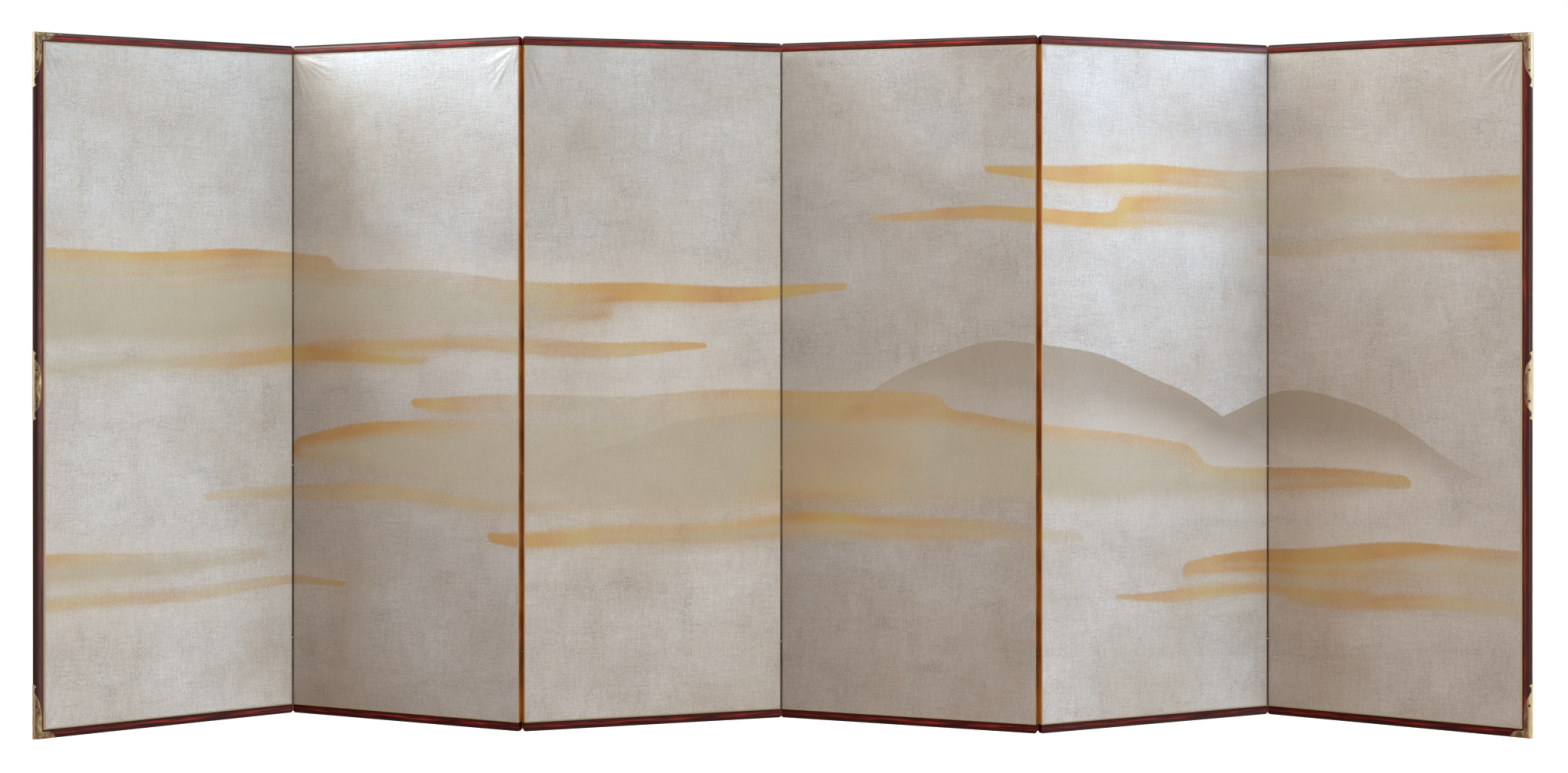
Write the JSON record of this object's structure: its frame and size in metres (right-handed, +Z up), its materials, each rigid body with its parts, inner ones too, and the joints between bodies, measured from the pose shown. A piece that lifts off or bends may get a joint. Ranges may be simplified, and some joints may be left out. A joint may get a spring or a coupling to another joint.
{
  "type": "folding screen",
  "caption": "Standing zigzag folding screen with lacquered frame, silvered silk faces, paper hinges and brass corner fittings",
  "frame": {"origin": "on the floor, in the middle of the standing screen's length and depth", "axes": "+Z up, X along the screen's length, -Y the way the fronts face"},
  "size_m": [3.6326, 0.3776, 1.7107],
  "materials": {
    "cedar": "planed, unfinished",
    "silvered_silk": "silver leaf on woven silk, tarnished",
    "pattern_paper": "matt printed paper",
    "lacquered_wood": "glossy red-brown lacquer",
    "gold_paper": "gold-brown hinge paper",
    "aged_brass": "aged brass sheet",
    "brass_tacks": "worn brass"
  },
  "bodies": {
    "panel_1": {"lattice_core_1": "cedar", "front_face_1": "silvered_silk", "back_face_1": "pattern_paper", "top_rail_1": "lacquered_wood", "bottom_rail_1": "lacquered_wood", "edge_paper_1": "gold_paper", "hinge_leaves_12_on_1": "gold_paper", "left_stile": "lacquered_wood", "corner_fitting_top_left": "aged_brass", "corner_fitting_bottom_left": "aged_brass", "mid_fitting_left": "aged_brass", "tacks_left": "brass_tacks"},
    "panel_2": {"lattice_core_2": "cedar", "front_face_2": "silvered_silk", "back_face_2": "pattern_paper", "top_rail_2": "lacquered_wood", "bottom_rail_2": "lacquered_wood", "edge_paper_2": "gold_paper", "hinge_leaves_12_on_2": "gold_paper", "hinge_leaves_23_on_2": "gold_paper"},
    "panel_3": {"lattice_core_3": "cedar", "front_face_3": "silvered_silk", "back_face_3": "pattern_paper", "top_rail_3": "lacquered_wood", "bottom_rail_3": "lacquered_wood", "edge_paper_3": "gold_paper", "hinge_leaves_23_on_3": "gold_paper", "hinge_leaves_34_on_3": "gold_paper"},
    "panel_4": {"lattice_core_4": "cedar", "front_face_4": "silvered_silk", "back_face_4": "pattern_paper", "top_rail_4": "lacquered_wood", "bottom_rail_4": "lacquered_wood", "edge_paper_4": "gold_paper", "hinge_leaves_34_on_4": "gold_paper", "hinge_leaves_45_on_4": "gold_paper"},
    "panel_5": {"lattice_core_5": "cedar", "front_face_5": "silvered_silk", "back_face_5": "pattern_paper", "top_rail_5": "lacquered_wood", "bottom_rail_5": "lacquered_wood", "edge_paper_5": "gold_paper", "hinge_leaves_45_on_5": "gold_paper", "hinge_leaves_56_on_5": "gold_paper"},
    "panel_6": {"lattice_core_6": "cedar", "front_face_6": "silvered_silk", "back_face_6": "pattern_paper", "top_rail_6": "lacquered_wood", "bottom_rail_6": "lacquered_wood", "edge_paper_6": "gold_paper", "hinge_leaves_56_on_6": "gold_paper", "right_stile": "lacquered_wood", "corner_fitting_top_right": "aged_brass", "corner_fitting_bottom_right": "aged_brass", "mid_fitting_right": "aged_brass", "tacks_right": "brass_tacks"}
  },
  "joints": [
    {"name": "fold_12", "type": "hinge", "parent": "panel_2", "child": "panel_1", "pos_m": [-1.25766, 0.17034, 0.855], "axis": [0, 0, 1], "range_deg": [-56.4, 122.6]},
    {"name": "fold_23", "type": "hinge", "parent": "panel_3", "child": "panel_2", "pos_m": [-0.643, -0.06819, 0.855], "axis": [0, 0, -1], "range_deg": [-39.7, 139.3]},
    {"name": "fold_34", "type": "hinge", "parent": "panel_3", "child": "panel_4", "pos_m": [-0.00587, 0.10145, 0.855], "axis": [0, 0, -1], "range_deg": [-35.9, 143.1]},
    {"name": "fold_45", "type": "hinge", "parent": "panel_4", "child": "panel_5", "pos_m": [0.62325, -0.09582, 0.855], "axis": [0, 0, 1], "range_deg": [-42.6, 136.4]},
    {"name": "fold_56", "type": "hinge", "parent": "panel_5", "child": "panel_6", "pos_m": [1.23623, 0.147, 0.855], "axis": [0, 0, -1], "range_deg": [-53.1, 125.9]}
  ]
}
